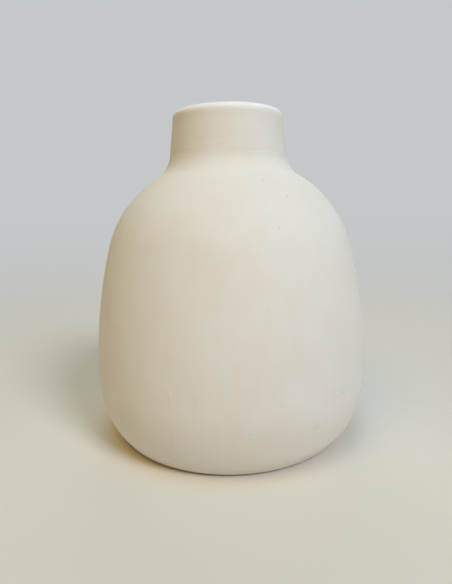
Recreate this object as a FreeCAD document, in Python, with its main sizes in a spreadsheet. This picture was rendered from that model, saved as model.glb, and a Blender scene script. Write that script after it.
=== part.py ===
import FreeCAD, Part
import math
import os
import Sketcher

# A round vase of white unglazed earthenware with a short tapering neck.
# It is slip cast in one piece, and a thin coat of clear glaze inside makes it hold water.
# Lengths are in millimetres and angles in degrees. +Z is up, and the origin is the middle
# of the face that the vase rests on.
#
# The outside is one unbroken line of arcs, each tangent to the next: the soft edge of the
# foot, the lower belly, the long flat side, the shoulder, the hollow root of the neck, the
# straight side of the neck and the rounded lip. A cast wall is as thick everywhere, because
# the mould draws water from the slip evenly. So the cavity is the same line moved inwards,
# and so is the glaze: each arc keeps its centre and only its radius changes.

SIZES = {
    # Outside of the casting, from the ground up
    "foot_edge_radius": 3.0,
    "lower_belly_radius": 51.0,
    "belly_height": 34.2,
    "belly_radius": 75.0,
    "side_radius": 263.0,
    "side_sweep": 15.5,
    "shoulder_radius": 60.3,
    "neck_root_radius": 14.4,
    "neck_radius": 31.5,
    "neck_taper": 6.6,
    "neck_length": 19.7,
    "lip_outer_radius": 3.6,
    # Inside of the casting
    "wall": 5.2,
    "lip_inner_radius": 1.3,
    "floor_thickness": 7.0,
    "floor_corner_radius": 14.0,
    # Underside: a shallow dish leaves a ring to stand on, so the vase doesn't rock
    "foot_ring_width": 8.0,
    "foot_dish_depth": 1.6,
    "foot_dish_slope_width": 5.0,
    # The glaze inside, which stops below the lip where it is wiped off before firing
    "glaze_thickness": 0.4,
    # How far a cut runs past the face that it opens
    "cut_overrun": 2.0,
}

FULL_TURN = 360.0
UPRIGHT = 90.0
CM3_IN_MM3 = 1000.0

# Places are compared to this many decimals of a millimetre
DECIMALS = 3

# The sketcher's numbers: 1 to 3 for the points of a line or arc, -1 and -2 for its own axes.
# The first point of its level axis is the origin.
START, END, CENTRE = range(1, 4)
LEVEL_AXIS, VERTICAL_AXIS = range(-1, -3, -1)
ORIGIN = (LEVEL_AXIS, START)


def make_sheet(doc):
    sheet = doc.addObject("Spreadsheet::Sheet", "sizes")
    for row, (name, value) in enumerate(SIZES.items(), start=1):
        sheet.set(f"A{row}", name)
        sheet.set(f"B{row}", str(value))
        sheet.setAlias(f"B{row}", name)
    doc.recompute()
    return sheet


def cell(name):
    return f"sizes.{name}"


def new_body(doc, label):
    body = doc.addObject("PartDesign::Body", label)
    body.Label = label
    return body


def new_sketch(body, name):
    """A sketch on the body's own upright XZ plane, where the profile's y is the height."""
    sketch = body.newObject("Sketcher::SketchObject", name)
    plane = [item for item in body.Origin.OriginFeatures if item.Role == "XZ_Plane"][0]
    sketch.AttachmentSupport = (plane, [""])
    sketch.MapMode = "FlatFace"
    return sketch


def bind(sketch, name, expression, kind, *places):
    """Adds a dimension to the sketch and ties it to the sheet."""
    index = sketch.addConstraint(Sketcher.Constraint(kind, *places))
    sketch.renameConstraint(index, name)
    sketch.setExpression("Constraints." + name, expression)


def point(x, z):
    return FreeCAD.Vector(x, z, 0)


def add_line(sketch, start, end):
    return sketch.addGeometry(Part.LineSegment(point(*start), point(*end)), False)


def add_arc(sketch, centre, radius, first, last):
    """An arc drawn anticlockwise from the first to the last angle, both in radians."""
    circle = Part.Circle(point(*centre), FreeCAD.Vector(0, 0, 1), radius)
    return sketch.addGeometry(Part.ArcOfCircle(circle, first, last), False)


def step(place, distance, angle):
    """The place that lies a distance away in the direction of an angle."""
    return (place[0] + distance * math.cos(angle), place[1] + distance * math.sin(angle))


def draw_wall_line(sketch, tag, inset, level, corner, neck_length):
    """Draws the wall's line from the axis along the floor and up to the end of the neck.

    inset, level, corner and neck_length are each a pair: the value to draw with and the
    expression that ties it to the sheet. Returns the first and the last geometry number.
    """
    depth, depth_text = inset
    taper = math.radians(SIZES["neck_taper"])
    sweep = math.radians(SIZES["side_sweep"])
    lower_radius = SIZES["lower_belly_radius"] - depth
    side_radius = SIZES["side_radius"] - depth
    shoulder_radius = SIZES["shoulder_radius"] - depth
    root_radius = SIZES["neck_root_radius"] + depth

    # Centres of the arcs, each found from the one before
    widest = (SIZES["belly_radius"] - depth, SIZES["belly_height"])
    lower_centre = step(widest, -lower_radius, 0)
    corner_rise = level[0] + corner[0] - lower_centre[1]
    corner_turn = math.asin(corner_rise / (lower_radius - corner[0]))
    corner_centre = step(lower_centre, lower_radius - corner[0], corner_turn)
    side_centre = step(widest, -side_radius, 0)
    shoulder_centre = step(side_centre, side_radius - shoulder_radius, sweep)
    neck_foot_x = SIZES["neck_radius"] - depth * math.cos(taper)
    root_centre_x = neck_foot_x + root_radius * math.cos(taper)
    shoulder_turn = math.acos((root_centre_x - shoulder_centre[0]) / (shoulder_radius + root_radius))
    root_centre = step(shoulder_centre, shoulder_radius + root_radius, shoulder_turn)
    neck_foot = step(root_centre, -root_radius, taper)
    neck_top = step(neck_foot, neck_length[0], taper + math.radians(UPRIGHT))

    floor = add_line(sketch, (0, level[0]), (corner_centre[0], level[0]))
    edge = add_arc(sketch, corner_centre, corner[0], -math.radians(UPRIGHT), corner_turn)
    lower = add_arc(sketch, lower_centre, lower_radius, corner_turn, 0)
    side = add_arc(sketch, side_centre, side_radius, 0, sweep)
    shoulder = add_arc(sketch, shoulder_centre, shoulder_radius, sweep, shoulder_turn)
    root = add_arc(sketch, root_centre, root_radius, math.pi + taper, math.pi + shoulder_turn)
    neck = add_line(sketch, neck_foot, neck_top)

    # The root of the neck curves the other way, so it is drawn from its top to its bottom
    joins = [
        (floor, END, edge, START),
        (edge, END, lower, START),
        (lower, END, side, START),
        (side, END, shoulder, START),
        (shoulder, END, root, END),
        (root, START, neck, START),
    ]
    for join in joins:
        sketch.addConstraint(Sketcher.Constraint("Tangent", *join))
    sketch.addConstraint(Sketcher.Constraint("Horizontal", floor))
    sketch.addConstraint(Sketcher.Constraint("Horizontal", lower, CENTRE, lower, END))

    def radius(part_name, geometry, value, size, sign):
        text = cell(size) if depth == 0 else f"{cell(size)} {sign} ({depth_text})"
        bind(sketch, f"{tag}_{part_name}_radius", text, "Radius", geometry, value)

    radius("lower_belly", lower, lower_radius, "lower_belly_radius", "-")
    radius("side", side, side_radius, "side_radius", "-")
    radius("shoulder", shoulder, shoulder_radius, "shoulder_radius", "-")
    radius("neck_root", root, root_radius, "neck_root_radius", "+")
    bind(sketch, f"{tag}_corner_radius", corner[1], "Radius", edge, corner[0])
    bind(sketch, f"{tag}_belly_radius", f"{cell('belly_radius')} - ({depth_text})",
         "DistanceX", *ORIGIN, lower, END, widest[0])
    bind(sketch, f"{tag}_belly_height", cell("belly_height"),
         "DistanceY", *ORIGIN, lower, END, widest[1])
    bind(sketch, f"{tag}_side_sweep", f"{cell('side_sweep')} * 1 deg", "Angle", side, sweep)
    bind(sketch, f"{tag}_neck_radius",
         f"{cell('neck_radius')} - ({depth_text}) * cos({cell('neck_taper')} * 1 deg)",
         "DistanceX", *ORIGIN, neck, START, neck_foot_x)
    bind(sketch, f"{tag}_neck_taper", f"({UPRIGHT} + {cell('neck_taper')}) * 1 deg",
         "Angle", neck, taper + math.radians(UPRIGHT))
    bind(sketch, f"{tag}_neck_length", neck_length[1], "Distance", neck, neck_length[0])

    if level[0] == 0:
        sketch.addConstraint(Sketcher.Constraint("Coincident", floor, START, *ORIGIN))
    else:
        sketch.addConstraint(Sketcher.Constraint("PointOnObject", floor, START, VERTICAL_AXIS))
        bind(sketch, f"{tag}_level", level[1], "DistanceY", *ORIGIN, floor, START, level[0])
    return floor, neck


def place_of(sketch, geometry, position):
    spot = sketch.getPoint(geometry, position)
    return (spot.x, spot.y)


def close_over_axis(sketch, last, first):
    """Closes a profile: a level line to the axis, then down the axis to the first line."""
    top = place_of(sketch, last, END)
    bottom = place_of(sketch, first, START)
    lid = add_line(sketch, top, (0, top[1]))
    axis = add_line(sketch, (0, top[1]), bottom)
    sketch.addConstraint(Sketcher.Constraint("Coincident", last, END, lid, START))
    sketch.addConstraint(Sketcher.Constraint("Horizontal", lid))
    sketch.addConstraint(Sketcher.Constraint("PointOnObject", lid, END, VERTICAL_AXIS))
    sketch.addConstraint(Sketcher.Constraint("Coincident", lid, END, axis, START))
    sketch.addConstraint(Sketcher.Constraint("Coincident", axis, END, first, START))


def check_sketch(sketch):
    if sketch.solve() != 0:
        raise RuntimeError(f"{sketch.Name} can't be solved")
    if not sketch.FullyConstrained:
        raise RuntimeError(f"{sketch.Name} is not fully constrained")


def turn(body, kind, name, sketch):
    """Adds or cuts the sketch's shape turned once round the upright axis."""
    feature = body.newObject(kind, name)
    feature.Profile = sketch
    feature.ReferenceAxis = (sketch, ["V_Axis"])
    feature.Angle = FULL_TURN
    sketch.Visibility = False
    body.Document.recompute()
    return feature


def make_outside(body):
    """The outer form with the rounded outer half of the lip, still solid."""
    sketch = new_sketch(body, "outside_line")
    radius = SIZES["foot_edge_radius"]
    length = SIZES["neck_length"]
    first, neck = draw_wall_line(sketch, "outside", (0, "0"), (0, "0"),
                                 (radius, cell("foot_edge_radius")),
                                 (length, cell("neck_length")))
    taper = math.radians(SIZES["neck_taper"])
    centre = step(place_of(sketch, neck, END), -SIZES["lip_outer_radius"], taper)
    lip = add_arc(sketch, centre, SIZES["lip_outer_radius"], taper, math.radians(UPRIGHT))
    sketch.addConstraint(Sketcher.Constraint("Tangent", neck, END, lip, START))
    bind(sketch, "lip_outer_radius", cell("lip_outer_radius"), "Radius", lip,
         SIZES["lip_outer_radius"])
    sketch.addConstraint(Sketcher.Constraint("Vertical", lip, CENTRE, lip, END))
    close_over_axis(sketch, lip, first)
    check_sketch(sketch)
    return turn(body, "PartDesign::Revolution", "outside", sketch)


def cavity_values():
    """Inset, floor level and corner of the cavity, as pairs of a value and an expression."""
    inset = (SIZES["wall"], cell("wall"))
    level = (SIZES["floor_thickness"], cell("floor_thickness"))
    corner = (SIZES["floor_corner_radius"], cell("floor_corner_radius"))
    return inset, level, corner


def make_cavity(body):
    """Hollows the form, leaving the wall, the floor and the open neck."""
    sketch = new_sketch(body, "cavity_line")
    parts = ("neck_length", "lip_outer_radius", "wall", "cut_overrun")
    reach = (sum(SIZES[name] for name in parts), " + ".join(cell(name) for name in parts))
    first, neck = draw_wall_line(sketch, "cavity", *cavity_values(), reach)
    close_over_axis(sketch, neck, first)
    check_sketch(sketch)
    return turn(body, "PartDesign::Groove", "cavity", sketch)


def make_foot_dish(body):
    """Cuts the shallow dish under the floor, with a sloping rim inside the foot ring."""
    sketch = new_sketch(body, "foot_dish_line")
    corner = SIZES["foot_edge_radius"]
    arm = SIZES["lower_belly_radius"] - corner
    drop = SIZES["belly_height"] - corner
    flat_edge = SIZES["belly_radius"] - SIZES["lower_belly_radius"] + math.sqrt(arm**2 - drop**2)
    outer = flat_edge - SIZES["foot_ring_width"]
    inner = outer - SIZES["foot_dish_slope_width"]
    depth = SIZES["foot_dish_depth"]
    base = add_line(sketch, (0, 0), (outer, 0))
    slope = add_line(sketch, (outer, 0), (inner, depth))
    roof = add_line(sketch, (inner, depth), (0, depth))
    axis = add_line(sketch, (0, depth), (0, 0))
    for one, other in ((base, slope), (slope, roof), (roof, axis), (axis, base)):
        sketch.addConstraint(Sketcher.Constraint("Coincident", one, END, other, START))
    sketch.addConstraint(Sketcher.Constraint("Coincident", base, START, *ORIGIN))
    sketch.addConstraint(Sketcher.Constraint("Horizontal", base))
    sketch.addConstraint(Sketcher.Constraint("Horizontal", roof))
    sketch.addConstraint(Sketcher.Constraint("Vertical", axis))
    arm_text = f"({cell('lower_belly_radius')} - {cell('foot_edge_radius')})"
    drop_text = f"({cell('belly_height')} - {cell('foot_edge_radius')})"
    flat_text = (f"{cell('belly_radius')} - {cell('lower_belly_radius')}"
                 f" + sqrt({arm_text}^2 - {drop_text}^2)")
    bind(sketch, "dish_radius", f"{flat_text} - {cell('foot_ring_width')}",
         "DistanceX", *ORIGIN, base, END, outer)
    bind(sketch, "slope_width", cell("foot_dish_slope_width"),
         "DistanceX", slope, END, slope, START, outer - inner)
    bind(sketch, "dish_depth", cell("foot_dish_depth"), "DistanceY", *ORIGIN, axis, START, depth)
    check_sketch(sketch)
    return turn(body, "PartDesign::Groove", "foot_dish", sketch)


def round_inner_lip(body, base):
    """Rounds the inner edge of the mouth: the highest ring, and of those the smallest."""
    rings = [
        (-round(edge.Curve.Center.z, DECIMALS), edge.Curve.Radius, f"Edge{number}")
        for number, edge in enumerate(base.Shape.Edges, start=1)
        if isinstance(edge.Curve, Part.Circle) and edge.Closed
    ]
    feature = body.newObject("PartDesign::Fillet", "inner_lip")
    feature.Base = (base, [min(rings)[-1]])
    feature.setExpression("Radius", cell("lip_inner_radius"))
    body.Document.recompute()
    return feature


def make_vase_body(doc):
    body = new_body(doc, "vase_body")
    outside = make_outside(body)
    cavity = make_cavity(body)
    dish = make_foot_dish(body)
    lip = round_inner_lip(body, dish)
    volumes = [feature.Shape.Volume for feature in (outside, cavity, dish, lip)]
    if volumes != sorted(set(volumes), reverse=True):
        raise RuntimeError("a cut of the vase body removed nothing")
    return body


def make_inner_glaze(doc):
    """The coat of glaze: the band between the cavity's line and the same line further in."""
    body = new_body(doc, "inner_glaze")
    sketch = new_sketch(body, "glaze_band")
    coat, coat_text = SIZES["glaze_thickness"], cell("glaze_thickness")
    inset, level, corner = cavity_values()
    length = (SIZES["neck_length"], cell("neck_length"))
    outer_first, outer_neck = draw_wall_line(sketch, "fired_on", inset, level, corner, length)
    inner_first, inner_neck = draw_wall_line(
        sketch, "wetted",
        (inset[0] + coat, f"{inset[1]} + {coat_text}"),
        (level[0] + coat, f"{level[1]} + {coat_text}"),
        (corner[0] - coat, f"{corner[1]} - {coat_text}"),
        (length[0] - coat, f"{length[1]} - {coat_text}"))
    for one, other, position in ((outer_neck, inner_neck, END), (outer_first, inner_first, START)):
        places = [place_of(sketch, number, position) for number in (one, other)]
        line = add_line(sketch, *places)
        sketch.addConstraint(Sketcher.Constraint("Coincident", one, position, line, START))
        sketch.addConstraint(Sketcher.Constraint("Coincident", other, position, line, END))
    check_sketch(sketch)
    turn(body, "PartDesign::Revolution", "glaze_coat", sketch)
    return body


def check_document(doc):
    for item in doc.Objects:
        if {"Invalid", "Error"} & set(item.State):
            raise RuntimeError(f"{item.Name} failed: {item.State}")


def write_parts(bodies):
    os.makedirs("parts", exist_ok=True)
    for body in bodies:
        shape = body.Shape
        if shape.isNull() or not shape.isValid() or len(shape.Solids) != 1:
            raise RuntimeError(f"{body.Label} is not one valid solid")
        box = shape.BoundBox
        print(f"{body.Label}: {shape.Volume / CM3_IN_MM3:.1f} cm3,"
              f" z from {box.ZMin:.2f} to {box.ZMax:.2f} mm")
        shape.exportStep(os.path.join("parts", body.Label + ".step"))


def main():
    doc = FreeCAD.newDocument("vase")
    make_sheet(doc)
    bodies = [make_vase_body(doc), make_inner_glaze(doc)]
    doc.recompute()
    check_document(doc)
    write_parts(bodies)


main()
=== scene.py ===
# %% [markdown]
# # A round vase of bare white clay
#
# The vase is slip cast. Liquid clay is poured into a plaster mould in two halves, a wall sets
# against the plaster, and the rest is poured out again. So the clay is one piece with an even
# wall, a faint upright seam on two sides where the halves met, and a chalky skin that was
# wiped with a sponge. Fired clay lets water through, so a coat of clear glaze lines the inside.
#
# The vase was drawn as plain solids first. Here each solid gets a visible piece in its place,
# at the same size, with the small marks and the finish that the real one has.
#
# Lengths are in metres, +Z is up, and -Y is the side that faces the camera. Azimuth 0 is that
# front, and it grows towards +X, the right of the picture.

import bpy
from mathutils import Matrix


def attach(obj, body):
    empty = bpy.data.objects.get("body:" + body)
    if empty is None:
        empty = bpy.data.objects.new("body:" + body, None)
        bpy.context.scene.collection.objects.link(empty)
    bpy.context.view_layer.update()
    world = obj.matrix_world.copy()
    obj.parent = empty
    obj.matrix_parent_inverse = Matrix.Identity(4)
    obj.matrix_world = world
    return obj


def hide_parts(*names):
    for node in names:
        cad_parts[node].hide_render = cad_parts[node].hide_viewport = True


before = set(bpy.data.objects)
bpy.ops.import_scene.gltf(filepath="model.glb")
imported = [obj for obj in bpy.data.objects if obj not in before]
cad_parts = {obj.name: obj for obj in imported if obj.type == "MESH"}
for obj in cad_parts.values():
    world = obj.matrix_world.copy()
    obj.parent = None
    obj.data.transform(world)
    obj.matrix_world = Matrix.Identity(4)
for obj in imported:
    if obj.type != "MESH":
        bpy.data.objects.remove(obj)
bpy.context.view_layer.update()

# %% Libraries and units
import math

import bpy
import numpy as np
from mathutils import Matrix, Vector, noise

MM = 0.001
QUARTER_TURN = math.pi / 2
FULL_TURN = math.pi * 2

# %% [markdown]
# ## The place that the picture was taken from
#
# A camera could be placed by eye, but the outline of a round body says exactly where it was.
# The width at each height gives the distance, and the curve of the rim and of the foot gives
# the eye's height. Close to the vase, the shoulders look narrower than they are, so the
# distance matters more than the lens. The camera was also held a little turned, which makes
# the vase lean to the left.

# %% The camera
IMAGE_HEIGHT_PX = 584
FOCAL_LENGTH_PX = 455.0
EYE_LEVEL_PX = 208.0  # the row of the picture that is as high as the eye
SENSOR_LONG_SIDE_MM = 36.0
EYE_DISTANCE = 256.6 * MM
EYE_HEIGHT = 123.4 * MM
EYE_LEFT_OF_AXIS = 2.28 * MM
CAMERA_LEAN = math.radians(0.96)

pitch = math.atan((IMAGE_HEIGHT_PX / 2 - EYE_LEVEL_PX) / FOCAL_LENGTH_PX)
forward = Vector((0, math.cos(pitch), -math.sin(pitch)))
level_right = Vector((1, 0, 0))
level_up = level_right.cross(forward)
right = level_right * math.cos(CAMERA_LEAN) - level_up * math.sin(CAMERA_LEAN)
up = right.cross(forward)

camera_data = bpy.data.cameras.new("camera")
camera_data.sensor_width = SENSOR_LONG_SIDE_MM
camera_data.lens = FOCAL_LENGTH_PX * SENSOR_LONG_SIDE_MM / IMAGE_HEIGHT_PX
camera = bpy.data.objects.new("camera", camera_data)
bpy.context.collection.objects.link(camera)
camera.matrix_world = Matrix.Translation((-EYE_LEFT_OF_AXIS, -EYE_DISTANCE, EYE_HEIGHT)) @ (
    Matrix((right, up, -forward)).transposed().to_4x4())
bpy.context.scene.camera = camera
print(f"the lens is {camera_data.lens:.1f} mm, looking down {math.degrees(pitch):.1f} degrees")

# %% [markdown]
# ## The line of the wall
#
# On the real vase the outside is one unbroken line: the soft edge of the foot, the lower
# belly, a long nearly straight side, the shoulder, the hollow root of the neck and a neck that
# narrows to the lip. Arcs that run into each other give that line with few sizes, where a
# traced curve would have many and would show small bumps in the light. A cast wall is as thick
# everywhere, so the inside is the same line moved inwards: each arc keeps its centre.

# %% Sizes of the vase
FOOT_EDGE_RADIUS = 3.0 * MM
LOWER_BELLY_RADIUS = 51.0 * MM
BELLY_HEIGHT = 34.2 * MM
BELLY_RADIUS = 75.0 * MM
SIDE_RADIUS = 263.0 * MM
SIDE_SWEEP = math.radians(15.5)
SHOULDER_RADIUS = 60.3 * MM
NECK_ROOT_RADIUS = 14.4 * MM
NECK_RADIUS = 31.5 * MM
NECK_TAPER = math.radians(6.6)
NECK_LENGTH = 19.7 * MM
LIP_OUTER_RADIUS = 3.6 * MM
WALL = 5.2 * MM
LIP_INNER_RADIUS = 1.3 * MM
FLOOR_THICKNESS = 7.0 * MM
FLOOR_CORNER_RADIUS = 14.0 * MM
FOOT_RING_WIDTH = 8.0 * MM
FOOT_DISH_DEPTH = 1.6 * MM
FOOT_DISH_SLOPE_WIDTH = 5.0 * MM
GLAZE_THICKNESS = 0.4 * MM

print(f"the wall is {WALL / MM:.1f} mm thick, the belly {2 * BELLY_RADIUS / MM:.0f} mm wide")


# %% Arcs of the wall, from the floor up to the neck
def heading(angle):
    return np.array((math.cos(angle), math.sin(angle)))


def wall_arcs(inset, level, corner_radius):
    """Each arc as centre, radius, first and last angle, and the place where the neck starts."""
    lower = LOWER_BELLY_RADIUS - inset
    side = SIDE_RADIUS - inset
    shoulder = SHOULDER_RADIUS - inset
    root = NECK_ROOT_RADIUS + inset
    widest = np.array((BELLY_RADIUS - inset, BELLY_HEIGHT))
    lower_centre = widest - lower * heading(0)
    corner_turn = math.asin((level + corner_radius - BELLY_HEIGHT) / (lower - corner_radius))
    corner_centre = lower_centre + (lower - corner_radius) * heading(corner_turn)
    side_centre = widest - side * heading(0)
    shoulder_centre = side_centre + (side - shoulder) * heading(SIDE_SWEEP)
    root_centre_x = NECK_RADIUS + (root - inset) * math.cos(NECK_TAPER)
    shoulder_turn = math.acos((root_centre_x - shoulder_centre[0]) / (shoulder + root))
    root_centre = shoulder_centre + (shoulder + root) * heading(shoulder_turn)
    arcs = [
        (corner_centre, corner_radius, -QUARTER_TURN, corner_turn),
        (lower_centre, lower, corner_turn, 0),
        (side_centre, side, 0, SIDE_SWEEP),
        (shoulder_centre, shoulder, SIDE_SWEEP, shoulder_turn),
        (root_centre, root, math.pi + shoulder_turn, math.pi + NECK_TAPER),
    ]
    return arcs, root_centre - root * heading(NECK_TAPER)


outside_arcs, neck_foot = wall_arcs(0, 0, FOOT_EDGE_RADIUS)
cavity_arcs, cavity_neck_foot = wall_arcs(WALL, FLOOR_THICKNESS, FLOOR_CORNER_RADIUS)
print(f"{len(outside_arcs)} arcs lead up to the neck, which starts {neck_foot[1] / MM:.1f} mm up")

# %% Points along lines and arcs
WIDEST_TURN = math.radians(11)


def line_points(start, end, spacing):
    count = max(1, math.ceil(np.linalg.norm(np.subtract(end, start)) / spacing))
    return np.linspace(start, end, count + 1)


def arc_points(centre, radius, first, last, spacing):
    step = min(WIDEST_TURN, spacing / radius)
    turns = np.linspace(first, last, math.ceil(abs(last - first) / step) + 1)
    return centre + radius * np.column_stack((np.cos(turns), np.sin(turns)))


def joined(*stretches):
    """One line from several stretches, each of which starts where the one before ends."""
    return np.vstack([stretches[0]] + [stretch[1:] for stretch in stretches[1:]])


# %% [markdown]
# ## From the foot, over the lip, to the floor inside
#
# The whole skin of the clay is one closed line from the axis under the foot to the axis on
# the floor inside. Under the foot a shallow dish leaves a ring to stand on, as potters cut it
# so that a vase doesn't rock. The lip is rounded with a damp sponge, more on the outside than
# on the inside. Corners of clay are never sharp, so the dish's corners are rounded as well. A
# Bevel modifier could round them, but it would also touch every other edge of the vase.

# %% The dish under the foot
BELLY_SPACING = 1.5 * MM
NECK_SPACING = 0.6 * MM
INSIDE_SPACING = 3.6 * MM
DISH_CORNER_RADIUS = 1.1 * MM
CORNER_POINTS = 7


def rounded_corner(before, corner, after, radius):
    """Points of an arc that takes the place of a corner between two lines."""
    back = np.subtract(before, corner) / np.linalg.norm(np.subtract(before, corner))
    ahead = np.subtract(after, corner) / np.linalg.norm(np.subtract(after, corner))
    half = math.acos(float(np.dot(back, ahead))) / 2
    middle = (back + ahead) / np.linalg.norm(back + ahead)
    centre = corner + middle * radius / math.sin(half)
    first, last = [corner + way * radius / math.tan(half) - centre for way in (back, ahead)]
    shares = np.linspace(0, 1, CORNER_POINTS)[:, None]
    chord = first * (1 - shares) + last * shares
    return centre + radius * chord / np.linalg.norm(chord, axis=1)[:, None]


flat_edge = np.array((outside_arcs[0][0][0], 0))
dish_edge = flat_edge - (FOOT_RING_WIDTH, 0)
dish_roof_edge = dish_edge + (-FOOT_DISH_SLOPE_WIDTH, FOOT_DISH_DEPTH)
dish_centre = np.array((0, FOOT_DISH_DEPTH))
roof_corner = rounded_corner(dish_centre, dish_roof_edge, dish_edge, DISH_CORNER_RADIUS)
ring_corner = rounded_corner(dish_roof_edge, dish_edge, flat_edge, DISH_CORNER_RADIUS)
underside = joined(
    line_points(dish_centre, roof_corner[0], INSIDE_SPACING), roof_corner,
    line_points(roof_corner[-1], ring_corner[0], BELLY_SPACING), ring_corner,
    line_points(ring_corner[-1], flat_edge, BELLY_SPACING))
print(f"the vase stands on a ring that is {2 * flat_edge[0] / MM:.1f} mm across")

# %% The outside, the lip and the inside
neck_top = neck_foot + NECK_LENGTH * heading(NECK_TAPER + QUARTER_TURN)
outside = joined(
    *[arc_points(*one, BELLY_SPACING) for one in outside_arcs],
    line_points(neck_foot, neck_top, NECK_SPACING))

lip_centre = neck_top - LIP_OUTER_RADIUS * heading(NECK_TAPER)
height = lip_centre[1] + LIP_OUTER_RADIUS
inner_lip_height = height - LIP_INNER_RADIUS
inner_lip_centre = np.array((
    cavity_neck_foot[0] - (inner_lip_height - cavity_neck_foot[1]) * math.tan(NECK_TAPER)
    + LIP_INNER_RADIUS / math.cos(NECK_TAPER), inner_lip_height))
lip = joined(
    arc_points(lip_centre, LIP_OUTER_RADIUS, NECK_TAPER, QUARTER_TURN, BELLY_SPACING),
    arc_points(inner_lip_centre, LIP_INNER_RADIUS, QUARTER_TURN, math.pi + NECK_TAPER,
               BELLY_SPACING))
cavity_centre = np.array((0, FLOOR_THICKNESS))
inside = joined(
    line_points(lip[-1], cavity_neck_foot, BELLY_SPACING),
    *[arc_points(*one, INSIDE_SPACING)[::-1] for one in cavity_arcs[::-1]],
    line_points((cavity_arcs[0][0][0], FLOOR_THICKNESS), cavity_centre, INSIDE_SPACING))

clay_line = joined(underside, outside, lip, inside)
print(f"the line of the clay has {len(clay_line)} points and is {height / MM:.1f} mm high")

# %% [markdown]
# ## Marks of the mould and of the hand
#
# A line turned on the axis gives a form as true as glass. The real one isn't: the clay sags a
# little as it dries, the sponge leaves shallow dents, and the two halves of the mould leave a
# scraped seam on opposite sides. Paint or a bump could stand for them, but the outline would
# stay too true, so they are in the mesh. The seam, the dents and the rings are less than a
# tenth of a millimetre deep, and only low light shows them. The dip in the shoulder, the sag
# and the spread of the foot are 0.4 to 1.1 mm, and the outline shows them. Each mark is worked
# out as a distance from the mould's form at one azimuth and height.

# %% The seams, and a burr that the scraper left on one
SEAM_AZIMUTHS = (math.radians(-22), math.radians(158))
SEAM_HEIGHT = 0.015 * MM
SEAM_HALF_WIDTH = 0.55 * MM
SEAM_STEP = 0.06 * MM
SEAM_STEP_REACH = 7.0 * MM
SEAM_FADE_FROM, SEAM_FADE_TO = 66.0 * MM, 90.0 * MM
FAINT_SEAM_SHARE = 0.05
SEAM_WANDER = math.radians(0.9)
BURR_LEVEL = 45.5 * MM
BURR_HALF_LENGTH = 4.5 * MM
BURR_HALF_WIDTH = 0.4 * MM
BURR_HEIGHT = 0.08 * MM
BURR_LEAN = math.radians(16)


def smooth(low, high, value):
    share = min(1.0, max(0.0, (value - low) / (high - low)))
    return share * share * (3 - 2 * share)


def angle_between(first, second):
    return (first - second + math.pi) % FULL_TURN - math.pi


def seam_azimuth(start, level):
    """A seam leans and wanders a little as it goes up."""
    return start - SEAM_WANDER * (level - BURR_LEVEL) / BELLY_HEIGHT * smooth(0, BURR_LEVEL, level)


def seam_relief(azimuth, level, radius):
    """A thin ridge with the clay a little lower on its left, and the burr across the front one."""
    total = 0.0
    presence = FAINT_SEAM_SHARE + (1 - FAINT_SEAM_SHARE) * (
        1 - smooth(SEAM_FADE_FROM, SEAM_FADE_TO, level))
    for start in SEAM_AZIMUTHS:
        offset = angle_between(azimuth, seam_azimuth(start, level)) * radius
        ridge = SEAM_HEIGHT * math.exp(-(offset / SEAM_HALF_WIDTH) ** 2)
        below = SEAM_STEP * smooth(-SEAM_HALF_WIDTH, SEAM_HALF_WIDTH, -offset)
        total += presence * (ridge - below * math.exp(-(offset / SEAM_STEP_REACH) ** 2))
    above = level - BURR_LEVEL
    offset = angle_between(azimuth, SEAM_AZIMUTHS[0]) * radius + above * math.tan(BURR_LEAN)
    return total + BURR_HEIGHT * math.exp(
        -(offset / BURR_HALF_WIDTH) ** 2 - (above / BURR_HALF_LENGTH) ** 4)


burr_top = seam_relief(SEAM_AZIMUTHS[0], BURR_LEVEL, BELLY_RADIUS)
print(f"the burr on the front seam stands {burr_top / MM:.3f} mm proud")

# %% Warp, sponge dents, a dip in the shoulder and fine rings on the neck
WARP = 0.12 * MM
WARP_AZIMUTH = math.radians(35)
DENT_DEPTH = 0.08 * MM
DENT_SIZE = 17.0 * MM
RING_DEPTH = 0.06 * MM
RING_SPACING = 1.5 * MM
RING_DRIFT = 0.35
DIP, DIP_AZIMUTH = 0.6 * MM, math.radians(-70)
DIP_LEVEL, DIP_REACH = 133.0 * MM, 7.0 * MM


def on_side(azimuth, middle):
    """1 at the middle azimuth, and a smooth fall to 0 on the far side of the vase."""
    return ((1 + math.cos(azimuth - middle)) / 2) ** 2


def soft_relief(azimuth, level, radius):
    """Never above zero, so that the vase stays inside the size that the mould gives it."""
    around = Vector((math.sin(azimuth), -math.cos(azimuth), 0)) * radius
    dents = noise.noise((around + Vector((0, 0, level))) / DENT_SIZE)
    rings = noise.noise(Vector((math.sin(azimuth), math.cos(azimuth), 0)) * RING_DRIFT
                        + Vector((0, 0, level / RING_SPACING)))
    on_neck = smooth(neck_foot[1] - NECK_ROOT_RADIUS / 2, neck_foot[1], level)
    warp = (math.cos(2 * (azimuth - WARP_AZIMUTH)) - 1) / 2
    dip = DIP * on_side(azimuth, DIP_AZIMUTH) * math.exp(-((level - DIP_LEVEL) / DIP_REACH) ** 2)
    return (WARP * warp + DENT_DEPTH * (dents - 1) / 2 - dip
            + RING_DEPTH * on_neck * (rings - 1) / 2)


dip_bottom = soft_relief(DIP_AZIMUTH, DIP_LEVEL, SHOULDER_RADIUS)
print(f"the shoulder dips by {-dip_bottom / MM:.2f} mm on the left")

# %% The sag of the lower belly and the spread of the foot
SAG, SAG_LEVEL, SAG_REACH = 0.4 * MM, 10.0 * MM, 9.0 * MM
SPREAD, SPREAD_AZIMUTH, SPREAD_REACH = 1.1 * MM, math.radians(-50), 14.0 * MM


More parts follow.
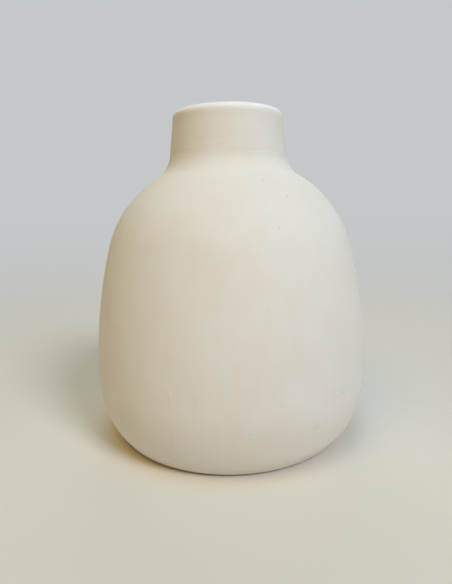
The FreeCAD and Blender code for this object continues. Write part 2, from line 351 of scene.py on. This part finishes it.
def foot_spread(azimuth, level):
    """How far the clay has sunk outwards under its own weight, most at the front on the left."""
    return (SAG * math.exp(-((level - SAG_LEVEL) / SAG_REACH) ** 2) * smooth(0, SAG_LEVEL, level)
            + SPREAD * on_side(azimuth, SPREAD_AZIMUTH) * math.exp(-(level / SPREAD_REACH) ** 2))


print(f"the foot has spread by {foot_spread(SPREAD_AZIMUTH, 0) / MM:.1f} mm at most")

# %% [markdown]
# ## Turning the line into clay
#
# Blender's Screw modifier could turn the line, but then every upright row of faces is as wide
# as the next, and a seam half a millimetre wide would need thousands of rows. So the mesh is
# written ring by ring, with the rows gathered at the seams. The marks fade out at the foot and
# at the lip, which were cut and sponged last. The spread doesn't, as it took the foot along.

# %% Azimuths of the mesh, gathered at the seams
PLAIN_ROWS = 300
PLAIN_ROWS_CLEARANCE = 1.15
SEAM_ROWS = 13
SEAM_ROWS_HALF_ANGLE = math.radians(1.9)


def mesh_azimuths():
    plain = np.arange(PLAIN_ROWS) * FULL_TURN / PLAIN_ROWS
    clearance = SEAM_ROWS_HALF_ANGLE * PLAIN_ROWS_CLEARANCE
    kept = [azimuth for azimuth in plain
            if all(abs(angle_between(azimuth, seam)) > clearance for seam in SEAM_AZIMUTHS)]
    for seam in SEAM_AZIMUTHS:
        fine = np.linspace(-SEAM_ROWS_HALF_ANGLE, SEAM_ROWS_HALF_ANGLE, 2 * SEAM_ROWS + 1)
        kept += [(seam + turn) % FULL_TURN for turn in fine]
    return np.array(sorted(kept))


azimuths = mesh_azimuths()
print(len(azimuths), "rows of faces go round the vase")


# %% Meshes from rings
def outward_ways(line):
    """The way out of the clay at each point of a line that runs up the outside."""
    along = np.gradient(line, axis=0)
    along /= np.linalg.norm(along, axis=1)[:, None]
    return np.column_stack((along[:, 1], -along[:, 0]))


def place_at(azimuth, radius, level):
    return (radius * math.sin(azimuth), -radius * math.cos(azimuth), level)


def turned_mesh(name, rings):
    """A mesh from rings of places, closed at the first and the last one by a middle point.

    rings has one row for each ring, and each ring has one x, y, z for each azimuth.
    """
    ring_count, row_count = rings.shape[:2]
    corners = rings.reshape(-1, 3).tolist()
    here = np.arange(row_count)
    ahead = (here + 1) % row_count
    faces = []
    for ring in range(ring_count - 1):
        low, high = ring * row_count, (ring + 1) * row_count
        faces += np.column_stack((low + here, low + ahead, high + ahead, high + here)).tolist()
    first, last = len(corners), len(corners) + 1
    corners += [rings[0].mean(axis=0).tolist(), rings[-1].mean(axis=0).tolist()]
    top = (ring_count - 1) * row_count
    faces += [(first, int(b), int(a)) for a, b in zip(here, ahead)]
    faces += [(top + int(a), top + int(b), last) for a, b in zip(here, ahead)]
    mesh = bpy.data.meshes.new(name)
    mesh.from_pydata(corners, [], faces)
    mesh.validate()
    mesh.shade_smooth()
    piece = bpy.data.objects.new(name, mesh)
    bpy.context.collection.objects.link(piece)
    print(name, "has", len(mesh.vertices), "corners and", len(mesh.polygons), "faces")
    return piece


# %% The clay
MARKS_FADE = 4.0 * MM

outside_from = len(underside) - 1
outside_to = outside_from + len(outside)


def clay_ring(radius, level, way, marked):
    """One ring of the clay. Only the rings of the outside are marked."""
    fade = (smooth(0, MARKS_FADE, level)
            * (1 - smooth(neck_top[1] - MARKS_FADE, neck_top[1], level))) if marked else 0
    ring = []
    for azimuth in azimuths:
        off = 0.0
        if fade:
            off = fade * (soft_relief(azimuth, level, radius)
                          + seam_relief(azimuth, level, radius))
        spread = foot_spread(azimuth, level) if marked else 0
        ring.append(place_at(azimuth, radius + off * way[0] + spread, level + off * way[1]))
    return ring


clay_ways = outward_ways(clay_line)
clay_rings = [clay_ring(*clay_line[number], clay_ways[number],
                        marked=outside_from <= number < outside_to)
              for number in range(1, len(clay_line) - 1)]
vase = turned_mesh("cast_vase", np.array(clay_rings))
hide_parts("vase_body")
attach(vase, "root")

# %% [markdown]
# ## The coat of glaze inside
#
# Glaze is poured in, swilled round and poured out, and what runs over the lip is wiped off
# before firing. So the coat ends a few millimetres below the lip in an edge that wavers, with
# a slightly thicker bead where the melt drew together. Gloss on the clay's own faces would do
# for the shine, but it would have no edge to catch the light. A thin closed skin has one, and
# it follows the cavity, so it is built from the same arcs moved inwards once more.

# %% The edge of the glaze
EDGE_WAVER = 1.3 * MM
EDGE_WAVES = 2.1
BEAD_LENGTH = 2.2 * MM
BEAD_SHARE = 0.55


def edge_length(azimuth):
    """How far up the wall of the neck the coat reaches."""
    wave = noise.noise(Vector((math.sin(azimuth), math.cos(azimuth), 0)) * EDGE_WAVES)
    return NECK_LENGTH - GLAZE_THICKNESS - EDGE_WAVER * (1 - wave) / 2


def coat_thickness(from_edge):
    """The coat rounds off at its edge and is thickest at the bead close to it."""
    bead = 1 + BEAD_SHARE * math.exp(-((from_edge - BEAD_LENGTH / 2) / BEAD_LENGTH * 2) ** 2)
    near = min(1.0, from_edge / GLAZE_THICKNESS)
    return GLAZE_THICKNESS * bead * math.sqrt(near * (2 - near))


edge_lengths = [edge_length(azimuth) for azimuth in azimuths]
print(f"the edge of the glaze wavers by {(max(edge_lengths) - min(edge_lengths)) / MM:.1f} mm,",
      f"and its bead is {coat_thickness(BEAD_LENGTH / 2) / MM:.2f} mm thick")

# %% The glaze
NECK_RINGS = 25
NECK_RINGS_CROWDING = 1.6

wetted_level = FLOOR_THICKNESS + GLAZE_THICKNESS
wetted_arcs = wall_arcs(WALL + GLAZE_THICKNESS, wetted_level,
                        FLOOR_CORNER_RADIUS - GLAZE_THICKNESS)[0]


def lining(arcs, floor_level):
    """The rings of one face of the coat, from the middle of the floor up to the neck."""
    floor = line_points((0, floor_level), (arcs[0][0][0], floor_level), INSIDE_SPACING)
    line = joined(floor, *[arc_points(*one, INSIDE_SPACING) for one in arcs])
    return [[place_at(azimuth, radius, level) for azimuth in azimuths]
            for radius, level in line[1:]]


def neck_ring(share, coated):
    """A ring on the wall of the neck, either where the coat meets the clay or on top of it."""
    ring = []
    for azimuth, length in zip(azimuths, edge_lengths):
        up_wall = share * length * heading(NECK_TAPER + QUARTER_TURN)
        thick = coat_thickness((1 - share) * length) if coated else 0
        radius, level = cavity_neck_foot + up_wall - thick * heading(NECK_TAPER)
        ring.append(place_at(azimuth, radius, level))
    return ring


neck_shares = 1 - (1 - np.linspace(0, 1, NECK_RINGS + 1)[1:]) ** NECK_RINGS_CROWDING
glaze_rings = (lining(cavity_arcs, FLOOR_THICKNESS)
               + [neck_ring(share, coated=False) for share in neck_shares]
               + [neck_ring(share, coated=True) for share in neck_shares[-2::-1]]
               + lining(wetted_arcs, wetted_level)[::-1])
glaze = turned_mesh("glaze_coat", np.array(glaze_rings))
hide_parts("inner_glaze")
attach(glaze, "root")

# %% [markdown]
# ## Finishes as formulas
#
# A finish is a sum of small things: mottling, grain, specks, wear. Node by node that is hard
# to read, so a socket is wrapped in a class that knows plus, minus, times and divided by, and
# an expression on such values adds the Math nodes. Colours and places go through Mix and
# Vector Math nodes, because a Math node would turn a colour grey.

# %% Sockets that can be reckoned with
class Value:
    def __init__(self, finish, socket):
        self.finish = finish
        self.socket = socket

    def maths(self, operation, *others):
        return self.finish.node("ShaderNodeMath", {"operation": operation},
                                dict(enumerate(others)))

    def __add__(self, other):
        return self.maths("ADD", self, other)

    def __radd__(self, other):
        return self.maths("ADD", other, self)

    def __sub__(self, other):
        return self.maths("SUBTRACT", self, other)

    def __rsub__(self, other):
        return self.maths("SUBTRACT", other, self)

    def __mul__(self, other):
        return self.maths("MULTIPLY", self, other)

    def __rmul__(self, other):
        return self.maths("MULTIPLY", other, self)

    def __truediv__(self, other):
        return self.maths("DIVIDE", self, other)

    def __rtruediv__(self, other):
        return self.maths("DIVIDE", other, self)

    def between(self, low, high):
        """0 below the low end, 1 above the high end, and a smooth rise between them."""
        return self.finish.node("ShaderNodeMapRange", {"interpolation_type": "SMOOTHSTEP"},
                                {"Value": self, "From Min": low, "From Max": high})


# %% Finishes that nodes are added to
MIX_FIRST_COLOUR, MIX_SECOND_COLOUR, MIX_COLOUR_OUTPUT = 6, 7, 2
SPOT_CORE_SHARE = 0.4


class Finish:
    """The nodes of a material or of the world, added by one method."""

    def __init__(self, owner):
        owner.use_nodes = True
        self.owner = owner
        self.tree = owner.node_tree
        self.tree.nodes.clear()

    def node(self, kind, settings=None, sockets=None, output=0):
        made = self.tree.nodes.new(kind)
        for name, setting in (settings or {}).items():
            setattr(made, name, setting)
        for name, given in (sockets or {}).items():
            if isinstance(given, Value):
                self.tree.links.new(given.socket, made.inputs[name])
            else:
                made.inputs[name].default_value = given
        return Value(self, made.outputs[output])

    def place(self):
        return self.node("ShaderNodeTexCoord", output="Object")

    def part_of(self, place, axis):
        return self.node("ShaderNodeSeparateXYZ", None, {"Vector": place}, output=axis)

    def stretched(self, place, scale, turn=(0, 0, 0)):
        return self.node("ShaderNodeMapping", {"vector_type": "POINT"},
                         {"Vector": place, "Rotation": turn, "Scale": scale})

    def noise(self, place, size, detail=2.0, roughness=0.5):
        """Noise from 0 to 1 whose lumps are about as large as the size, in metres."""
        return self.node("ShaderNodeTexNoise", None,
                         {"Vector": place, "Scale": 1 / size, "Detail": detail,
                          "Roughness": roughness})

    def scattered_spots(self, place, cell, radius):
        """1 in round spots that are scattered about a cell apart, and 0 between them."""
        away = self.node("ShaderNodeTexVoronoi", None, {"Vector": place, "Scale": 1 / cell},
                         output="Distance")
        return 1 - away.between(radius / cell * SPOT_CORE_SHARE, radius / cell)

    def distance(self, place, spot):
        return self.node("ShaderNodeVectorMath", {"operation": "DISTANCE"},
                         {0: place, 1: spot}, output="Value")

    def along(self, place, way):
        return self.node("ShaderNodeVectorMath", {"operation": "DOT_PRODUCT"},
                         {0: place, 1: way}, output="Value")

    def mix(self, share, first, second):
        return self.node(
            "ShaderNodeMix", {"data_type": "RGBA"},
            {"Factor": share, MIX_FIRST_COLOUR: first, MIX_SECOND_COLOUR: second},
            output=MIX_COLOUR_OUTPUT)

    def bump(self, height, depth, strength):
        return self.node("ShaderNodeBump", None,
                         {"Height": height, "Distance": depth, "Strength": strength},
                         output="Normal")

    def seen_straight(self):
        """1 for a ray from the camera, a mirror or a glass, and 0 for light on its way."""
        kinds = [self.node("ShaderNodeLightPath", output=kind)
                 for kind in ("Is Camera Ray", "Is Glossy Ray", "Is Transmission Ray")]
        return (kinds[0] + kinds[1] + kinds[2]).between(0, 1)

    def shown_by(self, output_kind, shader):
        output = self.tree.nodes.new(output_kind)
        self.tree.links.new(shader.socket, output.inputs["Surface"])
        print(self.owner.name, "is made of", len(self.tree.nodes), "nodes")
        return self.owner


def tint(red, green, blue):
    """A colour written as on a screen, 0 to 255, as the numbers that light adds up in."""
    shares = [part / 255 for part in (red, green, blue)]
    # A screen's numbers follow this standard curve: straight near black, then a power.
    return tuple(share / 12.92 if share <= 0.04045 else ((share + 0.055) / 1.055) ** 2.4
                 for share in shares) + (1,)


# %% [markdown]
# ## Bare fired clay
#
# White earthenware that was fired once and never glazed is warm white and quite matte. Seen
# close, it is a little uneven: soft clouds where the sponge left more or less of the fine
# clay, slanting streaks of the wipe, and close rings on the neck and low on the belly, where
# it was wiped as it turned. The top of the lip is painted paler: partly because it was sponged
# most, partly as a painted highlight where light from above and behind catches it. A short pale
# stroke along the burr is a painted highlight on its ridge. Dark specks are iron in the clay. A
# scuff comes from use. The edge of the foot is painted dark brown: a little of it is soil from
# standing, most of it is painted shade of the crease where the foot meets the floor. One plain
# colour would look like plastic, and a painted image would stretch where the form narrows, so
# each mark is a formula of the place on the vase. The clouds and streaks change the colour by a
# few parts in a hundred, and the grain is a bump.

# %% Specks of iron
SPECK_COLOUR = tint(122, 108, 92)
SPECK_CORE_SHARE = 0.3
RANDOM_SPECK_CELL = 11 * MM
RANDOM_SPECK_RADIUS = 0.30 * MM
RANDOM_SPECK_DARKNESS = 0.3

# Azimuth in degrees, height, radius and darkness of each iron speck that the picture shows
IRON_SPECKS = [
    (20.5, 135.8 * MM, 0.62 * MM, 0.38),
    (30.0, 128.1 * MM, 0.62 * MM, 0.40),
    (16.7, 124.0 * MM, 0.55 * MM, 0.20),
    (20.2, 114.7 * MM, 0.55 * MM, 0.24),
    (-31.8, 120.3 * MM, 0.55 * MM, 0.20),
    (0.1, 119.2 * MM, 0.55 * MM, 0.18),
    (-6.7, 114.3 * MM, 0.55 * MM, 0.18),
    (12.7, 80.5 * MM, 0.55 * MM, 0.16),
    (-11.0, 68.4 * MM, 0.55 * MM, 0.14),
    (43.9, 36.5 * MM, 0.65 * MM, 0.34),
    (32.6, 30.2 * MM, 0.50 * MM, 0.24),
    (5.4, 26.8 * MM, 0.50 * MM, 0.22),
]


def on_outside(azimuth_degrees, level):
    """The place on the outside at an azimuth in degrees and a height."""
    radius = float(np.interp(level, outside[:, 1], outside[:, 0]))
    return place_at(math.radians(azimuth_degrees), radius, level)


def iron_specks(finish, place):
    """The darkness of the specks in the picture and of finer ones all over the vase."""
    specks = 0.0
    for azimuth_degrees, level, radius, darkness in IRON_SPECKS:
        away = finish.distance(place, on_outside(azimuth_degrees, level))
        specks = specks + (1 - away.between(radius * SPECK_CORE_SHARE, radius)) * darkness
    scattered = finish.scattered_spots(place, RANDOM_SPECK_CELL, RANDOM_SPECK_RADIUS)
    return specks + scattered * RANDOM_SPECK_DARKNESS


print(len(IRON_SPECKS), "specks lie where the picture shows them")

# %% The painted highlight on the burr, and the scuff
# The pale stroke along the burr is a painted highlight on its ridge.
BURR_HIGHLIGHT_WIDTH_SHARE = 1.3
BURR_HIGHLIGHT_EDGE = (0.2, 1.0)
BURR_HIGHLIGHT_CORE_SHARE = 0.6
SCUFF_COLOUR = tint(196, 178, 150)
SCUFF_RADIUS = 3.4 * MM
SCUFF_RAGGEDNESS = 2 * MM
SCUFF_EDGE = (SCUFF_RADIUS * 0.5, SCUFF_RADIUS * 1.2)
SCUFF_PLACE = on_outside(30.4, 24.5 * MM)
BURR_PLACE = Vector(on_outside(math.degrees(SEAM_AZIMUTHS[0]), BURR_LEVEL))


def burr_highlight_patch(finish, place):
    """A short slanting stroke along the burr: a painted highlight on its ridge."""
    outwards = Vector((BURR_PLACE.x, BURR_PLACE.y, 0)).normalized()
    across = Matrix.Rotation(BURR_LEAN, 3, outwards) @ Vector((0, 0, 1)).cross(outwards)
    beside = finish.along(place, across) - BURR_PLACE.dot(across)
    sharpness = 1 / (BURR_HIGHLIGHT_WIDTH_SHARE * BURR_HALF_WIDTH) ** 2
    return (1 - (beside * beside * sharpness).between(*BURR_HIGHLIGHT_EDGE)) * (
        1 - finish.distance(place, BURR_PLACE).between(
            BURR_HALF_LENGTH * BURR_HIGHLIGHT_CORE_SHARE, BURR_HALF_LENGTH))


def scuffed_patch(finish, place, grit):
    """A rub with a ragged edge, low on the right."""
    away = finish.distance(place, SCUFF_PLACE) + grit * SCUFF_RAGGEDNESS
    return 1 - away.between(*SCUFF_EDGE)


print(f"the burr is {BURR_PLACE.z / MM:.1f} mm up, and the scuff {SCUFF_PLACE[2] / MM:.1f} mm")

# %% The skin of the clay
CLAY = tint(236, 231, 222)
CLAY_WARM = tint(232, 223, 209)
CLAY_COOL = tint(235, 234, 230)
GRAIN_COLOUR = tint(205, 199, 188)
# Near white: on the lip's top partly sponged clay and partly a painted highlight, and on the burr
# a painted highlight.
SPONGED_AND_HIGHLIGHT_COLOUR = tint(247, 247, 247)
# Dark brown for the edge of the foot: mostly painted shade of the crease where the foot meets the
# floor, partly soil from standing.
FOOT_SHADE_AND_SOIL_COLOUR = tint(134, 106, 72)

CLOUD_SIZE, CLOUD_EDGE = 30 * MM, (0.32, 0.68)
STREAK_SIZE, STREAK_EDGE = 5 * MM, (0.30, 0.70)
STREAK_STRETCH, STREAK_TURN = (1, 1, 0.28), (0, math.radians(38), 0)
WIPED_RING_SIZE, WIPED_RING_EDGE = 0.8 * MM, (0.25, 0.75)
WIPED_RING_STRETCH = (0.05, 0.05, 1)
WIPED_NECK = (neck_foot[1] - NECK_ROOT_RADIUS / 3, neck_foot[1])
WIPED_BELLY, WIPED_BELLY_SHARE = (BELLY_HEIGHT / 2, BELLY_HEIGHT * 1.2), 0.7
GRAIN_SIZE, GRAIN_ROUGHNESS, GRAIN_EDGE = 0.34 * MM, 0.6, (0.55, 0.85)
GRIT_SIZE, GRIT_EDGE = 1.1 * MM, (0.35, 0.62)
# The top of the lip: paler for the sponge, and a painted highlight where light from above catches
# it.
SPONGED_AND_HIGHLIT_LIP = (height - LIP_OUTER_RADIUS * 1.3, height - LIP_OUTER_RADIUS * 0.3)
FOOT_SHADE_AND_SOIL_UP_TO = 1.8 * MM
FOOT_SHADE_AND_SOIL_EVERYWHERE = 0.6


class Skin:
    """The patterns of the bare clay, which its colour, roughness and bump share."""

    def __init__(self, finish, place):
        level = finish.part_of(place, "Z")
        self.clouds = finish.noise(place, CLOUD_SIZE, detail=3.0).between(*CLOUD_EDGE)
        slant = finish.stretched(place, STREAK_STRETCH, STREAK_TURN)
        self.streaks = finish.noise(slant, STREAK_SIZE, detail=3.0).between(*STREAK_EDGE)
        flat = finish.stretched(place, WIPED_RING_STRETCH)
        wiped = level.between(*WIPED_NECK) + (
            1 - level.between(*WIPED_BELLY)) * WIPED_BELLY_SHARE
        self.rings = finish.noise(flat, WIPED_RING_SIZE).between(*WIPED_RING_EDGE) * wiped
        self.grain = finish.noise(place, GRAIN_SIZE, roughness=GRAIN_ROUGHNESS)
        self.grit = finish.noise(place, GRIT_SIZE)
        # The top of the lip: partly sponged clay, partly a painted highlight.
        self.sponged_and_highlit = level.between(*SPONGED_AND_HIGHLIT_LIP)
        # A band low on the foot, darkest at the floor: painted shade of the contact crease, with
        # some soil.
        self.foot_shade_and_soil = (1 - level.between(FOOT_SHADE_AND_SOIL_UP_TO / 4, FOOT_SHADE_AND_SOIL_UP_TO)) * (
            FOOT_SHADE_AND_SOIL_EVERYWHERE + self.grit.between(*GRIT_EDGE) * (1 - FOOT_SHADE_AND_SOIL_EVERYWHERE))
        self.specks = iron_specks(finish, place)


# %% The colour, sheen and bump of the clay
BARE_ROUGHNESS, GRAIN_DULLS, FOOT_SHADE_AND_SOIL_SHINES = 0.80, 0.10, 0.12
BARE_SPECULAR = 0.30
BARE_BUMP_DEPTH, BARE_BUMP_STRENGTH = 0.05 * MM, 0.55
GRAIN_LIFT, GRIT_LIFT, RING_LIFT, STREAK_LIFT, SPECK_SINK = 0.6, 0.5, 0.9, 0.25, 0.6


def bare_colour(finish, place, skin):
    """The clay's colour with each mark laid over the ones before."""
    colour = CLAY
    # Each mark, how much of its colour it gives where it is strongest, and that colour
    for mark, share, mark_colour in (
            (skin.clouds, 0.55, CLAY_WARM),
            (skin.streaks, 0.30, CLAY_COOL),
            (skin.rings, 0.50, CLAY_WARM),
            (skin.grain.between(*GRAIN_EDGE), 0.12, GRAIN_COLOUR),
            # paler from the sponge, and a painted highlight on the lip's top
            (skin.sponged_and_highlit, 0.95, SPONGED_AND_HIGHLIGHT_COLOUR),
            (skin.specks, 1.00, SPECK_COLOUR),
            # a painted highlight along the ridge of the burr
            (burr_highlight_patch(finish, place), 0.35, SPONGED_AND_HIGHLIGHT_COLOUR),
            (scuffed_patch(finish, place, skin.grit), 0.12, SCUFF_COLOUR),
            # painted shade of the crease under the foot, with some soil
            (skin.foot_shade_and_soil, 0.75, FOOT_SHADE_AND_SOIL_COLOUR)):
        colour = finish.mix(mark * share, colour, mark_colour)
    return colour


def make_bisque():
    finish = Finish(bpy.data.materials.new("bisque"))
    place = finish.place()
    skin = Skin(finish, place)
    relief = (skin.grain * GRAIN_LIFT + skin.grit * GRIT_LIFT + skin.rings * RING_LIFT
              + skin.streaks * STREAK_LIFT - skin.specks * SPECK_SINK)
    return finish.shown_by("ShaderNodeOutputMaterial", finish.node(
        "ShaderNodeBsdfPrincipled", None, {
            "Base Color": bare_colour(finish, place, skin),
            "Roughness": BARE_ROUGHNESS + skin.grain * GRAIN_DULLS - skin.foot_shade_and_soil * FOOT_SHADE_AND_SOIL_SHINES,
            "Specular IOR Level": BARE_SPECULAR,
            "Normal": finish.bump(relief, BARE_BUMP_DEPTH, BARE_BUMP_STRENGTH)}))


vase.data.materials.append(make_bisque())

# %% [markdown]
# ## Clear glaze over white clay
#
# The clear coat makes the clay below look a little deeper and creamier, and it is glossy. A
# see-through shader over the clay would be nearest to the real thing, but the clay under it
# can't be seen apart from the glaze. So one opaque shader with a clear coat on top does for
# both, which also stays true in other programs. Small dimples and pinholes, as every poured
# glaze has, keep the gloss from looking like glass, and the glaze is deepest in colour where
# it pooled on the floor.

# %% The finish of the glaze
GLAZE = tint(233, 227, 214)
GLAZE_POOLED = tint(222, 214, 196)
GLAZE_CLOUD_SIZE, GLAZE_CLOUD_EDGE = CLOUD_SIZE / 2, (0.3, 0.7)
CLOUDED_SHARE, POOLED_SHARE = 0.25, 0.5
PINHOLE_COLOUR, PINHOLE_SHARE = tint(150, 138, 118), 0.6
PINHOLE_CELL, PINHOLE_RADIUS = 9 * MM, 0.28 * MM
RIPPLE_SIZE = 6 * MM
GLOSS_ROUGHNESS, RIPPLE_DULLS, PINHOLE_DULLS = 0.16, 0.10, 0.4
CLEAR_COAT, CLEAR_COAT_ROUGHNESS = 0.7, 0.05
GLAZE_BUMP_DEPTH, GLAZE_BUMP_STRENGTH = 0.06 * MM, 0.5


def make_glaze():
    finish = Finish(bpy.data.materials.new("clear_glaze"))
    place = finish.place()
    level = finish.part_of(place, "Z")
    clouds = finish.noise(place, GLAZE_CLOUD_SIZE).between(*GLAZE_CLOUD_EDGE)
    ripple = finish.noise(place, RIPPLE_SIZE, detail=1.0)
    pooled = 1 - level.between(FLOOR_THICKNESS, FLOOR_THICKNESS + FLOOR_CORNER_RADIUS)
    holes = finish.scattered_spots(place, PINHOLE_CELL, PINHOLE_RADIUS)
    colour = finish.mix(clouds * CLOUDED_SHARE + pooled * POOLED_SHARE, GLAZE, GLAZE_POOLED)
    colour = finish.mix(holes * PINHOLE_SHARE, colour, PINHOLE_COLOUR)
    return finish.shown_by("ShaderNodeOutputMaterial", finish.node(
        "ShaderNodeBsdfPrincipled", None, {
            "Base Color": colour,
            "Roughness": GLOSS_ROUGHNESS + ripple * RIPPLE_DULLS + holes * PINHOLE_DULLS,
            "Coat Weight": CLEAR_COAT,
            "Coat Roughness": CLEAR_COAT_ROUGHNESS,
            "Normal": finish.bump(ripple - holes, GLAZE_BUMP_DEPTH, GLAZE_BUMP_STRENGTH)}))


glaze.data.materials.append(make_glaze())

# %% [markdown]
# ## A plain studio
#
# The vase stands on a wide pale sheet. In a studio such a sheet curves up behind the object, so
# that no edge shows. A curved sheet would hide the vase from behind, so here the sheet is flat
# and its colour fades with the distance into the colour that the world shows. The fade is only
# for what is seen: for light on its way, the sheet stays a plain pale floor, and near the vase
# it keeps the shadow. The sheet lies a twentieth of a millimetre under the foot, because two
# faces in one plane would show through each other in patches.

# %% The floor
SHEET_RADIUS = 6.0
SHEET_CORNERS = 64
SHEET_LEVEL = -0.05 * MM
SHEET_COLOUR, SHEET_ROUGHNESS = tint(225, 220, 209), 0.7
PLAIN_SHEET_RADIUS = 0.24
BACKDROP_COLOUR, BACKDROP_STRENGTH = tint(197, 200, 201), 1.0


def floor_sheet():
    mesh = bpy.data.meshes.new("floor_sheet")
    turns = np.linspace(0, FULL_TURN, SHEET_CORNERS + 1)[:-1]
    corners = [(SHEET_RADIUS * math.cos(turn), SHEET_RADIUS * math.sin(turn), SHEET_LEVEL)
               for turn in turns]
    mesh.from_pydata(corners, [], [list(range(len(corners)))])
    sheet = bpy.data.objects.new("floor_sheet", mesh)
    bpy.context.collection.objects.link(sheet)
    finish = Finish(bpy.data.materials.new("floor_paint"))
    away = finish.distance(finish.place(), (0, 0, 0))
    far = ((away - PLAIN_SHEET_RADIUS) / away).between(0, 1)
    paint = finish.node("ShaderNodeBsdfPrincipled", None,
                        {"Base Color": SHEET_COLOUR, "Roughness": SHEET_ROUGHNESS})
    glow = finish.node("ShaderNodeEmission", None,
                       {"Color": BACKDROP_COLOUR, "Strength": BACKDROP_STRENGTH})
    mesh.materials.append(finish.shown_by("ShaderNodeOutputMaterial", finish.node(
        "ShaderNodeMixShader", None, {0: far * finish.seen_straight(), 1: paint, 2: glow})))
    return sheet


floor_sheet()

# %% [markdown]
# ## Soft light, most of it from the right
#
# Pale daylight falls on the vase from the right and above, and the room gives weaker, warmer
# light on the left. A single lamp would leave the left side nearly black, and a picture of a
# room wrapped round the scene would be one more file to carry along. So there are five large
# soft lamps, 2.4 m away: a pale one for a window, two warm ones on the left for the room, a
# cool one above for the ceiling, and a weak one behind, so that the back isn't dark. The world
# fills the shadows a little. The strengths are set so that a colour renders about as it is
# written.

# %% Lamps
LAMP_DISTANCE = 2.4
LAMPS_AIM = Vector((0, 0, height / 2))

# Name, azimuth and height in degrees, width in metres, colour, and power in watts
LAMPS = [
    ("window", 39, 42, 0.8, (0.85, 0.90, 1.0), 32.4),
    ("room", -38, 60, 1.2, (1.0, 0.64, 0.05), 11.8),
    ("left", -65, 30, 1.2, (1.0, 0.56, 0.05), 4.0),
    ("ceiling", 0, 80, 1.2, (0.36, 0.72, 1.0), 15.4),
    ("behind", 180, 36, 1.8, (1.0, 0.97, 0.93), 9.5),
]


def soft_lamp(name, azimuth_degrees, elevation_degrees, width, colour, watts):
    data = bpy.data.lights.new(name, "AREA")
    data.shape = "DISK"
    data.size = width
    data.color = colour
    data.energy = watts
    lamp = bpy.data.objects.new(name, data)
    azimuth, elevation = math.radians(azimuth_degrees), math.radians(elevation_degrees)
    way = Vector((math.sin(azimuth) * math.cos(elevation),
                  -math.cos(azimuth) * math.cos(elevation), math.sin(elevation)))
    lamp.location = LAMPS_AIM + way * LAMP_DISTANCE
    lamp.rotation_mode = "QUATERNION"
    lamp.rotation_quaternion = way.to_track_quat("Z", "Y")
    lamp.visible_camera = False
    bpy.context.collection.objects.link(lamp)
    print(f"the {name} lamp gives {watts} W from {lamp.location.z:.1f} m up")


for settings in LAMPS:
    soft_lamp(*settings)

# %% The world
AIR_COLOUR = (1.0, 0.94, 0.86, 1)
AIR_STRENGTH = 0.10


def studio_air():
    finish = Finish(bpy.data.worlds.new("studio_air"))
    air = finish.node("ShaderNodeBackground", None,
                      {"Color": AIR_COLOUR, "Strength": AIR_STRENGTH})
    backdrop = finish.node("ShaderNodeBackground", None,
                           {"Color": BACKDROP_COLOUR, "Strength": BACKDROP_STRENGTH})
    return finish.shown_by("ShaderNodeOutputWorld", finish.node(
        "ShaderNodeMixShader", None, {0: finish.seen_straight(), 1: air, 2: backdrop}))


bpy.context.scene.world = studio_air()
bpy.context.scene.view_settings.view_transform = "Standard"
